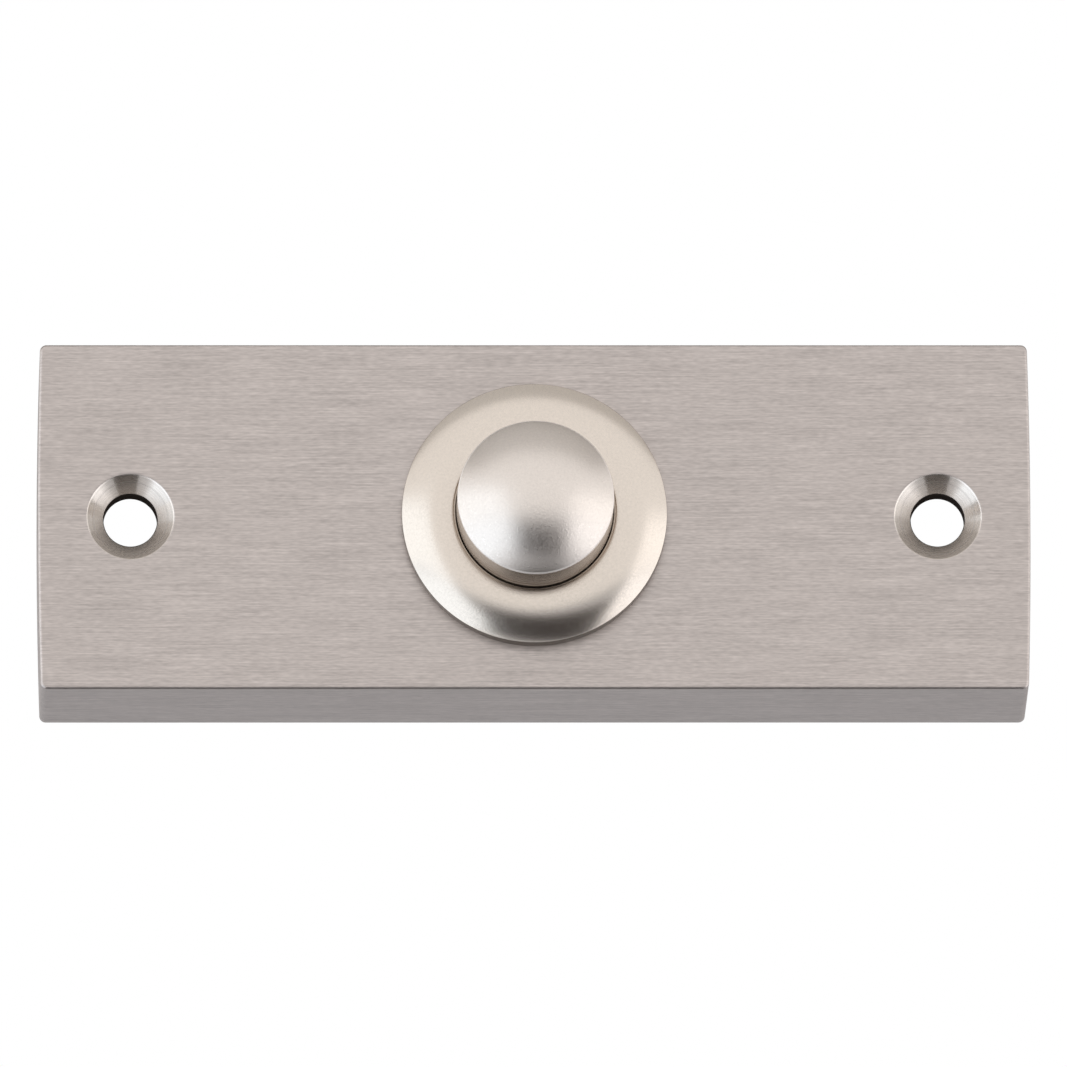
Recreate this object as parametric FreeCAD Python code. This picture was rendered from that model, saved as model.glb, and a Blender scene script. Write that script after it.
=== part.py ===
"""Doorbell push button: a hollow-backed cover plate with a turned, domed push in its middle.

All lengths are in millimetres. The wall is the plane y = 0 and the front faces -Y, so a height given
here as "out" is the distance in front of the wall, -y. X runs along the plate, +Z is up, and the
origin is the middle of the plate's back, on the axis of the push.
"""
import FreeCAD, Part
import math
import os

Vec = FreeCAD.Vector
OUTWARD = Vec(0, -1, 0)
WALL_CENTRE = Vec(0, 0, 0)

# Cover plate
plate_length = 76.0
plate_height = 27.0
plate_depth = 12.0
face_wall = 3.0
side_wall = 2.2
nut_seat_depth = 0.2
nut_seat_w = 0.3
end_crown = 0.2
plate_corner_r = 0.5
face_edge_r = 0.2
cavity_corner_r = 1.0

# Countersunk fixing holes in the plate
screw_inset = 7.1
screw_hole_d = 4.1
countersink_d = 6.7
countersink_angle = 90.0

# Push button, guided by its flange in the collar's chamber
button_d = 12.0
button_rim_h = 6.9
button_crown = 2.05
button_rim_r = 0.25
button_travel = 1.6
button_gap = 0.08
guide_clearance = 0.08
flange_t = 1.2
bush_socket_d = 8.0
bush_socket_depth = 4.0

# Bezel collar: its head in front of the plate, and its barrel with the steps of its bore
collar_d = 20.3
collar_rim_h = 1.2
collar_crown = 1.05
collar_edge_r = 0.12
collar_mouth_r = 0.06
collar_mouth_w = 0.14
collar_mouth_depth = 0.12
shoulder_depth = 1.6
shoulder_w = 0.77
base_seat_depth = 6.5
base_seat_w = 0.35
groove_depth = 0.3
groove_lip = 0.65
barrel_wall = 1.0
barrel_chamfer = 0.4
barrel_clearance = 0.1
thread_clearance = 0.05

# Ring nut and shakeproof washer, which clamp the collar to the plate
lock_washer_inset = 0.05
lock_washer_t = 0.6
lock_washer_teeth = 18
lock_tooth_depth = 1.0
lock_tooth_gap = 1.4
ring_nut_w = 2.2
ring_nut_t = 2.4
ring_nut_chamfer = 0.3
ring_nut_slots = 4
ring_nut_slot_w = 2.4
ring_nut_slot_depth = 1.1

# Return spring
spring_wire_d = 0.45
spring_d = 4.2
spring_active_turns = 5.0
spring_closed_turns = 1.0
spring_closed_pitch = 0.52
spring_points_per_turn = 16
spring_inner_clearance = 0.2
spring_outer_clearance = 0.3

# Insulating bush on the back of the button
fit_clearance = 0.02
bush_flange_w = 0.8
bush_flange_t = 0.4
bush_sleeve_wall = 0.7
bush_sleeve_length = 0.8
bush_floor_t = 0.6
bush_chamfer = 0.2

# Contact bridge and the push-on washer that keeps it
contact_clearance = 0.03
bridge_overhang = 1.65
bridge_rim_w = 1.05
bridge_seat_w = 1.0
bridge_t = 0.3
clip_w = 0.8
clip_t = 0.3
clip_tongues = 6
clip_slot_w = 0.5
clip_slot_depth = 0.45

# Contact base and the circlip behind it
base_t = 1.6
base_clearance = 0.1
boss_h = 1.5
boss_chamfer = 0.3
circlip_t = 0.6
circlip_w = 1.0
circlip_clearance = 0.05
circlip_gap = 2.6
circlip_lug_d = 2.4
circlip_eye_d = 0.9
circlip_lug_inset = 0.3

# Terminal studs, nuts and washers
stud_offset = 4.1
stud_d = 2.0
stud_head_d = 2.8
stud_head_t = 0.7
stud_head_edge = 0.15
stud_end_length = 0.5
stud_end_chamfer = 0.25
stud_clearance = 0.05
nut_across_flats = 4.0
nut_chamfer = 0.22
lock_nut_t = 1.0
terminal_nut_t = 1.2
washer_d = 4.2
washer_t = 0.3

# Diameters that follow from the sizes above
collar_bore_d = button_d + 2 * button_gap
chamber_d = collar_bore_d + 2 * shoulder_w
base_bore_d = chamber_d + 2 * base_seat_w
snap_groove_d = base_bore_d + 2 * groove_depth
barrel_d = snap_groove_d + 2 * barrel_wall
thread_bore_d = barrel_d + 2 * thread_clearance
ring_nut_d = barrel_d + 2 * ring_nut_w
boss_d = spring_d - 2 * spring_wire_d - 2 * spring_inner_clearance
spring_bore_d = spring_d + 2 * spring_outer_clearance
bush_sleeve_d = spring_bore_d + 2 * bush_sleeve_wall
sleeve_fit_d = bush_sleeve_d + 2 * fit_clearance
stud_hole_d = stud_d + 2 * stud_clearance

# Heights in front of the wall that follow from the sizes above
face_out = plate_depth
cavity_out = face_out - face_wall
nut_seat_out = cavity_out + nut_seat_depth
collar_rim_out = face_out + collar_rim_h
collar_top_out = collar_rim_out + collar_crown
button_rim_out = face_out + button_rim_h
button_top_out = button_rim_out + button_crown
lock_washer_back_out = nut_seat_out - lock_washer_t
ring_nut_back_out = lock_washer_back_out - ring_nut_t
shoulder_out = face_out - shoulder_depth
flange_back_out = shoulder_out - flange_t
socket_floor_out = flange_back_out + bush_socket_depth
bush_floor_out = socket_floor_out - bush_floor_t
bridge_seat_out = flange_back_out - bush_flange_t
bush_back_out = bridge_seat_out - bush_sleeve_length
base_seat_out = face_out - base_seat_depth
base_back_out = base_seat_out - base_t
circlip_back_out = base_back_out - circlip_t
groove_back_out = circlip_back_out - circlip_clearance
barrel_back_out = groove_back_out - groove_lip
stud_head_out = base_seat_out + stud_head_t
bridge_back_out = stud_head_out + button_travel + contact_clearance
lock_nut_back_out = base_back_out - lock_nut_t
inner_washer_back_out = lock_nut_back_out - washer_t
outer_washer_back_out = inner_washer_back_out - washer_t
terminal_nut_back_out = outer_washer_back_out - terminal_nut_t
stud_end_out = terminal_nut_back_out - stud_end_length


def at(radius, out):
    """A point of a turned section: its radius from the axis and its height in front of the wall."""
    return Vec(radius, -out, 0)


class Section:
    """Half of a turned part's section, drawn point by point beside the axis and then revolved."""

    def __init__(self, radius, out):
        self.start = at(radius, out)
        self.here = self.start
        self.edges = []

    def line(self, radius, out):
        """A straight line to the next point."""
        end = at(radius, out)
        self.edges.append(Part.makeLine(self.here, end))
        self.here = end
        return self

    def arc(self, radius, out, sagitta):
        """An arc to the next point. It bulges by the sagitta to the right of the way there, in a
        drawing with the radius across and the front up."""
        end = at(radius, out)
        chord = end - self.here
        right = Vec(-chord.y, chord.x, 0).normalize()
        middle = (self.here + end) * 0.5 + right * sagitta
        self.edges.append(Part.Arc(self.here, middle, end).toShape())
        self.here = end
        return self

    def quarter(self, radius, out):
        """A quarter circle to the next point, bulging to the right as an arc does."""
        half_chord = (at(radius, out) - self.here).Length / 2
        return self.arc(radius, out, half_chord * (math.sqrt(2) - 1))

    def turned(self):
        """The solid that the section makes, closed back to its first point and revolved."""
        if (self.here - self.start).Length > 1e-9:
            self.edges.append(Part.makeLine(self.here, self.start))
        face = Part.Face(Part.Wire(self.edges))
        return face.revolve(WALL_CENTRE, OUTWARD, 360)


def disc(diameter, back_out, thickness, x=0.0, z=0.0):
    """A plain round disc whose back lies back_out in front of the wall."""
    return Part.makeCylinder(diameter / 2, thickness, Vec(x, -back_out, z), OUTWARD)


def ring(outer_d, inner_d, back_out, thickness, x=0.0):
    """A flat ring on an axis at x."""
    return disc(outer_d, back_out, thickness, x).cut(disc(inner_d, back_out, thickness, x))


def block(width, height, back_out, thickness, x=0.0, z=0.0):
    """A box centred on x and z, from back_out outwards."""
    corner = Vec(x - width / 2, -(back_out + thickness), z - height / 2)
    return Part.makeBox(width, thickness, height, corner)


def around_axis(shape, count):
    """The shape repeated count times round the axis of the push."""
    copies = []
    for i in range(count):
        copy = shape.copy()
        copy.rotate(WALL_CENTRE, OUTWARD, 360.0 * i / count)
        copies.append(copy)
    return copies


def depth_edges(shape):
    """The edges that run straight from back to front."""
    return [
        e for e in shape.Edges
        if e.BoundBox.XLength < 1e-6 and e.BoundBox.ZLength < 1e-6
    ]


def edges_at(shape, out):
    """The edges that lie wholly at one height in front of the wall."""
    return [
        e for e in shape.Edges
        if abs(e.BoundBox.YMin + out) < 1e-6 and abs(e.BoundBox.YMax + out) < 1e-6
    ]


def plate_block():
    """The plate's outside: straight long sides, slightly crowned ends, eased edges."""
    half_l = plate_length / 2
    half_h = plate_height / 2
    corner_x = half_l - end_crown
    top = Part.makeLine(Vec(-corner_x, 0, half_h), Vec(corner_x, 0, half_h))
    right = Part.Arc(Vec(corner_x, 0, half_h), Vec(half_l, 0, 0), Vec(corner_x, 0, -half_h)).toShape()
    bottom = Part.makeLine(Vec(corner_x, 0, -half_h), Vec(-corner_x, 0, -half_h))
    left = Part.Arc(Vec(-corner_x, 0, -half_h), Vec(-half_l, 0, 0), Vec(-corner_x, 0, half_h)).toShape()
    outline = Part.Face(Part.Wire([top, right, bottom, left]))
    body = outline.extrude(OUTWARD * plate_depth)
    body = body.makeFillet(plate_corner_r, depth_edges(body))
    return body.makeFillet(face_edge_r, edges_at(body, face_out))


def screw_hole(x):
    """A fixing hole through the face wall, countersunk from the front."""
    sink_depth = (countersink_d - screw_hole_d) / 2 / math.tan(math.radians(countersink_angle / 2))
    hole = disc(screw_hole_d, cavity_out, face_wall, x)
    cone = Part.makeCone(
        screw_hole_d / 2, countersink_d / 2, sink_depth, Vec(x, -(face_out - sink_depth), 0), OUTWARD
    )
    return hole.fuse(cone)


def make_face_plate():
    """Cover plate: hollow back with a flat seat milled for the nut, and the three holes."""
    cavity = block(plate_length - 2 * side_wall, plate_height - 2 * side_wall, 0, cavity_out)
    cavity = cavity.makeFillet(cavity_corner_r, depth_edges(cavity))
    nut_seat = disc(ring_nut_d + 2 * nut_seat_w, 0, nut_seat_out)
    barrel_hole = disc(barrel_d + 2 * barrel_clearance, cavity_out, face_wall)
    screw_x = plate_length / 2 - screw_inset
    screw_holes = [screw_hole(side * screw_x) for side in (-1, 1)]
    return plate_block().cut([cavity, nut_seat, barrel_hole] + screw_holes)


def make_bezel_collar():
    """Crowned head with a shallow step at its mouth, barrel, and the stepped bore for what it holds."""
    head_r = collar_d / 2
    bore_r = collar_bore_d / 2
    mouth_r = bore_r + collar_mouth_w
    barrel_r = barrel_d / 2
    groove_r = snap_groove_d / 2
    crown_w = head_r - collar_edge_r - mouth_r - collar_mouth_r
    crown_r = (crown_w**2 + collar_crown**2) / (2 * collar_crown)
    crown_sagitta = crown_r - math.sqrt(crown_r**2 - (crown_w**2 + collar_crown**2) / 4)
    section = Section(barrel_r, face_out)
    section.line(head_r, face_out)
    section.line(head_r, collar_rim_out - collar_edge_r)
    section.quarter(head_r - collar_edge_r, collar_rim_out)
    section.arc(mouth_r + collar_mouth_r, collar_top_out, crown_sagitta)
    section.quarter(mouth_r, collar_top_out - collar_mouth_r)
    section.line(mouth_r, collar_top_out - collar_mouth_depth)
    section.line(bore_r, collar_top_out - collar_mouth_depth)
    section.line(bore_r, shoulder_out)
    section.line(chamber_d / 2, shoulder_out)
    section.line(chamber_d / 2, base_seat_out)
    section.line(base_bore_d / 2, base_seat_out)
    section.line(base_bore_d / 2, base_back_out)
    section.line(groove_r, base_back_out)
    section.line(groove_r, groove_back_out)
    section.line(base_bore_d / 2, groove_back_out)
    section.line(base_bore_d / 2, barrel_back_out)
    section.line(barrel_r - barrel_chamfer, barrel_back_out)
    section.line(barrel_r, barrel_back_out + barrel_chamfer)
    return section.turned()


def make_push_button():
    """Domed head on a straight side, a guide flange, and a socket in the back for the bush."""
    head_r = button_d / 2
    flange_r = chamber_d / 2 - guide_clearance
    dome_w = head_r - button_rim_r
    dome_r = (dome_w**2 + button_crown**2) / (2 * button_crown)
    dome_sagitta = dome_r - math.sqrt(dome_r**2 - (dome_w**2 + button_crown**2) / 4)
    section = Section(0, button_top_out)
    section.line(0, socket_floor_out)
    section.line(bush_socket_d / 2, socket_floor_out)
    section.line(bush_socket_d / 2, flange_back_out)
    section.line(flange_r, flange_back_out)
    section.line(flange_r, shoulder_out)
    section.line(head_r, shoulder_out)
    section.line(head_r, button_rim_out - button_rim_r)
    section.quarter(dome_w, button_rim_out)
    section.arc(0, button_top_out, dome_sagitta)
    return section.turned()


def make_lock_washer():
    """Shakeproof washer with teeth round its outside."""
    outer_d = ring_nut_d - 2 * lock_washer_inset
    washer = ring(outer_d, thread_bore_d, lock_washer_back_out, lock_washer_t)
    gap_x = (outer_d - lock_tooth_depth) / 2
    gap = block(lock_tooth_depth, lock_tooth_gap, lock_washer_back_out, lock_washer_t, gap_x)
    return washer.cut(around_axis(gap, lock_washer_teeth))


def make_ring_nut():
    """Round nut on the barrel, slotted across its back for a peg spanner."""
    outer_r = ring_nut_d / 2
    bore_r = thread_bore_d / 2
    section = Section(bore_r, lock_washer_back_out)
    section.line(outer_r, lock_washer_back_out)
    section.line(outer_r, ring_nut_back_out + ring_nut_chamfer)
    section.line(outer_r - ring_nut_chamfer, ring_nut_back_out)
    section.line(bore_r, ring_nut_back_out)
    slot = block(outer_r, ring_nut_slot_w, ring_nut_back_out, ring_nut_slot_depth, outer_r)
    return section.turned().cut(around_axis(slot, ring_nut_slots))


def make_insulating_bush():
    """Stepped bush: a plug in the button's socket, a flange, and a sleeve bored for the spring."""
    plug_r = bush_socket_d / 2 - fit_clearance
    bore_r = spring_bore_d / 2
    flange_r = bush_socket_d / 2 + bush_flange_w
    section = Section(0, socket_floor_out)
    section.line(0, bush_floor_out)
    section.line(bore_r, bush_floor_out)
    section.line(bore_r, bush_back_out + bush_chamfer)
    section.line(bore_r + bush_chamfer, bush_back_out)
    section.line(bush_sleeve_d / 2, bush_back_out)
    section.line(bush_sleeve_d / 2, bridge_seat_out)
    section.line(flange_r, bridge_seat_out)
    section.line(flange_r, flange_back_out)
    section.line(plug_r, flange_back_out)
    section.line(plug_r, socket_floor_out - bush_chamfer)
    section.line(plug_r - bush_chamfer, socket_floor_out)
    return section.turned()


def make_contact_bridge():
    """Dished contact washer: a flat seat against the bush and a flat rim that meets both studs."""
    bore_r = sleeve_fit_d / 2
    seat_r = bush_sleeve_d / 2 + bridge_seat_w
    rim_r = stud_offset + bridge_overhang
    rim_bore_r = rim_r - bridge_rim_w
    seat_back_out = bridge_seat_out - bridge_t
    bend_angle = math.atan2(seat_back_out - bridge_back_out, rim_bore_r - seat_r)
    front_shift = bridge_t * math.tan(bend_angle / 2)
    section = Section(bore_r, bridge_seat_out)
    section.line(bore_r, seat_back_out)
    section.line(seat_r, seat_back_out)
    section.line(rim_bore_r, bridge_back_out)
    section.line(rim_r, bridge_back_out)
    section.line(rim_r, bridge_back_out + bridge_t)
    section.line(rim_bore_r + front_shift, bridge_back_out + bridge_t)
    section.line(seat_r + front_shift, bridge_seat_out)
    return section.turned()


def make_bridge_clip():
    """Push-on star washer: tongues between slots grip the bush's sleeve."""
    clip_back_out = bridge_seat_out - bridge_t - clip_t
    clip = ring(bush_sleeve_d + 2 * clip_w, sleeve_fit_d, clip_back_out, clip_t)
    slot = block(2 * clip_slot_depth, clip_slot_w, clip_back_out, clip_t, sleeve_fit_d / 2)
    return clip.cut(around_axis(slot, clip_tongues))


def make_contact_base():
    """Insulating disc with a boss that centres the spring and a hole for each stud."""
    boss_out = base_seat_out + boss_h
    outer_r = base_bore_d / 2 - base_clearance
    section = Section(0, base_back_out)
    section.line(outer_r, base_back_out)
    section.line(outer_r, base_seat_out)
    section.line(boss_d / 2, base_seat_out)
    section.line(boss_d / 2, boss_out - boss_chamfer)
    section.line(boss_d / 2 - boss_chamfer, boss_out)
    section.line(0, boss_out)
    holes = [disc(stud_hole_d, base_back_out, base_t, side * stud_offset) for side in (-1, 1)]
    return section.turned().cut(holes)


def make_retaining_ring():
    """Internal circlip: an open ring in the barrel's groove with an eye at each end."""
    outer_d = snap_groove_d - 2 * circlip_clearance
    clip = ring(outer_d, outer_d - 2 * circlip_w, circlip_back_out, circlip_t)
    lug_x = (circlip_gap + circlip_lug_d) / 2
    lug_z = -(outer_d / 2 - circlip_lug_inset - circlip_lug_d / 2)
    within_groove = disc(outer_d, circlip_back_out, circlip_t)
    lugs = [
        disc(circlip_lug_d, circlip_back_out, circlip_t, side * lug_x, lug_z).common(within_groove)
        for side in (-1, 1)
    ]
    eyes = [
        disc(circlip_eye_d, circlip_back_out, circlip_t, side * lug_x, lug_z) for side in (-1, 1)
    ]
    gap = block(circlip_gap, outer_d / 2, circlip_back_out, circlip_t, 0, -outer_d / 2)
    return clip.fuse(lugs).cut(eyes + [gap]).removeSplitter()


def turned_at(section, x):
    """A turned part on a parallel axis at x."""
    shape = section.turned()
    shape.translate(Vec(x, 0, 0))
    return shape


def make_contact_stud(x):
    """Headed stud through the base; its fine thread is left plain."""
    shank_r = stud_d / 2
    head_r = stud_head_d / 2
    section = Section(0, stud_end_out)
    section.line(shank_r - stud_end_chamfer, stud_end_out)
    section.line(shank_r, stud_end_out + stud_end_chamfer)
    section.line(shank_r, base_seat_out)
    section.line(head_r, base_seat_out)
    section.line(head_r, stud_head_out - stud_head_edge)
    section.line(head_r - stud_head_edge, stud_head_out)
    section.line(0, stud_head_out)
    return turned_at(section, x)


def make_hex_nut(x, back_out, thickness):
    """Hexagon nut on a stud: flats to the sides, corners chamfered on both faces."""
    corner_r = nut_across_flats / math.sqrt(3)
    corners = [
        Vec(x + corner_r * math.cos(a), -back_out, corner_r * math.sin(a))
        for a in (math.radians(30 + 60 * i) for i in range(6))
    ]
    prism = Part.Face(Part.makePolygon(corners + corners[:1])).extrude(OUTWARD * thickness)
    front_out = back_out + thickness
    blank = Section(0, back_out)
    blank.line(corner_r - nut_chamfer, back_out)
    blank.line(corner_r, back_out + nut_chamfer / 2)
    blank.line(corner_r, front_out - nut_chamfer / 2)
    blank.line(corner_r - nut_chamfer, front_out)
    blank.line(0, front_out)
    bore = disc(stud_hole_d, back_out, thickness, x)
    return prism.common(turned_at(blank, x)).cut(bore)


def make_stud_washer(x, back_out):
    """Plain washer on a stud; a bell wire goes between two of them."""
    return ring(washer_d, stud_hole_d, back_out, washer_t, x)


def spring_line():
    """The wire's centre line: a closed turn at each end and evenly open turns between them."""
    first_out = base_seat_out + spring_wire_d / 2
    last_out = bush_floor_out - spring_wire_d / 2
    coil_r = (spring_d - spring_wire_d) / 2
    turns = spring_active_turns + 2 * spring_closed_turns
    closed_rise = spring_closed_turns * spring_closed_pitch
    open_rise = last_out - first_out - 2 * closed_rise
    points = []
    for i in range(int(turns * spring_points_per_turn) + 1):
        turn = i / spring_points_per_turn
        share = min(max((turn - spring_closed_turns) / spring_active_turns, 0.0), 1.0)
        closed_turn = turn - share * spring_active_turns
        out = first_out + closed_turn * spring_closed_pitch + share * open_rise
        angle = 2 * math.pi * turn
        points.append(Vec(coil_r * math.cos(angle), -out, coil_r * math.sin(angle)))
    curve = Part.BSplineCurve()
    curve.interpolate(points)
    return curve


def make_return_spring():
    """Round wire swept along the coil, its ends ground flat to sit square."""
    line = spring_line()
    start = line.value(line.FirstParameter)
    heading = line.tangent(line.FirstParameter)[0]
    wire_section = Part.Wire(Part.makeCircle(spring_wire_d / 2, start, heading))
    coil = Part.Wire(line.toShape()).makePipeShell([wire_section], True, True)
    between_seats = disc(2 * spring_d, base_seat_out, bush_floor_out - base_seat_out)
    return coil.common(between_seats)


def side_pieces():
    """The pieces that are there twice, once on each stud."""
    pieces = {}
    for side, x in (("left", -stud_offset), ("right", stud_offset)):
        pieces[f"contact_stud_{side}"] = make_contact_stud(x)
        pieces[f"stud_lock_nut_{side}"] = make_hex_nut(x, lock_nut_back_out, lock_nut_t)
        pieces[f"inner_washer_{side}"] = make_stud_washer(x, inner_washer_back_out)
        pieces[f"outer_washer_{side}"] = make_stud_washer(x, outer_washer_back_out)
        pieces[f"terminal_nut_{side}"] = make_hex_nut(x, terminal_nut_back_out, terminal_nut_t)
    return pieces


def all_pieces():
    """Every piece of the push, by name."""
    pieces = {
        "face_plate": make_face_plate(),
        "bezel_collar": make_bezel_collar(),
        "lock_washer": make_lock_washer(),
        "ring_nut": make_ring_nut(),
        "push_button": make_push_button(),
        "insulating_bush": make_insulating_bush(),
        "contact_bridge": make_contact_bridge(),
        "bridge_clip": make_bridge_clip(),
        "return_spring": make_return_spring(),
        "contact_base": make_contact_base(),
        "retaining_ring": make_retaining_ring(),
    }
    pieces.update(side_pieces())
    return pieces


os.makedirs("parts", exist_ok=True)
for name, shape in all_pieces().items():
    solid = shape.Solids[0] if len(shape.Solids) == 1 else shape
    solid.exportStep(f"parts/{name}.step")
    print(f"{name}: {len(shape.Solids)} solid, {solid.Volume:.2f} mm3, valid {solid.isValid()}")
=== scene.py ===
"""Looks of a wall-mounted doorbell push: brushed nickel plate, domed satin button, brass works behind.

Sizes are in millimetres and every mesh is written in metres. A height called "out" is the distance in
front of the wall, the plane y = 0; the front faces -Y, X runs along the plate and Z is up.
"""

import logging
import math
from dataclasses import dataclass, field
from enum import Enum
from functools import cache

import bmesh
import bpy
import numpy as np
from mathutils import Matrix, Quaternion, Vector


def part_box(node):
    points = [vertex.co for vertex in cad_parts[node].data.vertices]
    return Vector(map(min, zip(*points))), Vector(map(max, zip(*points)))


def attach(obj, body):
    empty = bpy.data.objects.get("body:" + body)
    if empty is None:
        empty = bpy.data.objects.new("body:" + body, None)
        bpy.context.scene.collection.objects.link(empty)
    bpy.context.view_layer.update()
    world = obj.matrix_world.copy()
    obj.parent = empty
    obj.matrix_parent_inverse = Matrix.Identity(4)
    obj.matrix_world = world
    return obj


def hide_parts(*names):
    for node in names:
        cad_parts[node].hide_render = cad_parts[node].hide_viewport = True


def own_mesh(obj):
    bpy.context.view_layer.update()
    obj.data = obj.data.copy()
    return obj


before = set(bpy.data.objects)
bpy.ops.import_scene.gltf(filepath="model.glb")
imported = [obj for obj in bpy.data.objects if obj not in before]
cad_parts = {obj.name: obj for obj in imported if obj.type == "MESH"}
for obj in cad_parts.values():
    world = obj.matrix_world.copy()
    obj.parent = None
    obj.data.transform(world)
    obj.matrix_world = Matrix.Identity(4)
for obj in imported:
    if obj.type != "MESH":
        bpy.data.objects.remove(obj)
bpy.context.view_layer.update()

Array = np.ndarray
Socket = bpy.types.NodeSocket

MM = 0.001
TURN_STEPS = 240
SMALL_TURN_STEPS = 96
EDGE_POINTS = 7
EASE_POINTS = 6
WELD = 0.0006
TINY = 1e-9
NEARLY_ONE = 0.999999
CREASE = math.radians(32)
SURFACE_MAP = "surface"
HOUSING = "housing"
BUTTON = "button"

log = logging.getLogger("doorbell_push")


class Side(Enum):
    """The two ends of the plate, and the two terminals."""

    LEFT = -1
    RIGHT = 1

    @property
    def word(self) -> str:
        """The side's name as the nodes spell it."""
        return self.name.lower()


class Grain(Enum):
    """How a surface was worked, which sets the pattern of its marks."""

    BRUSHED = "long scratches along X"
    TURNED = "rings round an axis that runs from back to front"
    BLASTED = "fine even pits"
    CAST = "an uneven skin"
    MOULDED = "a smooth skin with faint clouds"


@dataclass(frozen=True)
class Reach:
    """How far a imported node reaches, in millimetres."""

    left: float
    right: float
    bottom: float
    top: float
    back: float
    front: float

    @classmethod
    def of(cls, node: str) -> "Reach":
        """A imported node's reach, with back and front measured out from the wall."""
        low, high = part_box(node)
        return cls(low.x / MM, high.x / MM, low.z / MM, high.z / MM, -high.y / MM, -low.y / MM)

    @property
    def middle_x(self) -> float:
        """The middle of the node along the plate."""
        return (self.left + self.right) / 2


class Sheet:
    """A node tree, with short ways to add and join its nodes."""

    def __init__(self, owner: bpy.types.Material | bpy.types.World) -> None:
        """Starts with the nodes that Blender gives the owner.

        Args:
            owner: the material or world that the tree belongs to.
        """
        owner.use_nodes = True
        self.owner = owner
        self.nodes = owner.node_tree.nodes
        self.links = owner.node_tree.links

    def fill(self, node: bpy.types.Node, inputs: dict[str | int, object]) -> None:
        """Joins a node's inputs to other sockets, or sets their own values.

        Args:
            node: the node that receives.
            inputs: by name or number, an output socket, a number or a tuple of numbers.
        """
        for key, value in inputs.items():
            if isinstance(value, Socket):
                self.links.new(value, node.inputs[key])
            else:
                node.inputs[key].default_value = value

    def node(self, kind: str, inputs: dict[str | int, object], **settings: object) -> bpy.types.Node:
        """Adds a node.

        Args:
            kind: its type, without the leading ShaderNode.
            inputs: what its inputs receive.
            settings: its own properties, which are set first.

        Returns:
            The node.
        """
        node = self.nodes.new(f"ShaderNode{kind}")
        for name, value in settings.items():
            setattr(node, name, value)
        self.fill(node, inputs)
        return node

    def math(self, operation: str, *values: object) -> Socket:
        """A Math node's result."""
        return self.node("Math", dict(enumerate(values)), operation=operation).outputs[0]

    def vector(self, operation: str, *values: object) -> Socket:
        """A Vector Math node's vector result."""
        return self.node("VectorMath", dict(enumerate(values)), operation=operation).outputs[0]

    def split(self, vector: Socket) -> bpy.types.bpy_prop_collection:
        """The outputs X, Y and Z of a vector."""
        return self.node("SeparateXYZ", {0: vector}).outputs

    def noise(self, at: Socket, detail: float, rough: float = 0.5, output: str = "Fac") -> Socket:
        """A Noise Texture of unit scale, read at a point that is scaled to the size of its marks."""
        inputs = {"Vector": at, "Scale": 1.0, "Detail": detail, "Roughness": rough}
        return self.node("TexNoise", inputs).outputs[output]

    def ramp(self, share: Socket, low: float, high: float) -> Socket:
        """Carries 0 to 1 over to low to high."""
        return self.node("MapRange", {"Value": share, "To Min": low, "To Max": high}).outputs["Result"]

    def tint(self, share: Socket, low: tuple, high: tuple) -> Socket:
        """The first colour where the share is 0, the second where it is 1, and a mix between."""
        inputs = {"Factor": share, "A": (*low, 1.0), "B": (*high, 1.0)}
        return self.node("Mix", inputs, data_type="RGBA").outputs["Result"]


@dataclass(frozen=True)
class Scratches:
    """One layer of a brushed grain, its length in reaches and its width in marks."""

    weight: float
    length: float
    width: float
    detail: float


SCRATCH_LAYERS = (
    Scratches(0.42, 0.25, 1, 1.0),
    Scratches(0.38, 2, 1, 1.0),
    Scratches(0.20, 2, 9, 3.0),
)
SCRATCH_ROUGHNESS = 0.55
SWAY = 0.12
CLOUDS_PER_MM = 1 / 8
MID_GREY = (0.5, 0.5, 0.5)
LOOKS_ALONG_X = 0.7
NOISE_DETAIL = {Grain.TURNED: 2.0, Grain.BLASTED: 2.0, Grain.CAST: 5.0, Grain.MOULDED: 3.0}
NOISE_ROUGHNESS = 0.6
QUARTER_TURN = 0.25


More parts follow.
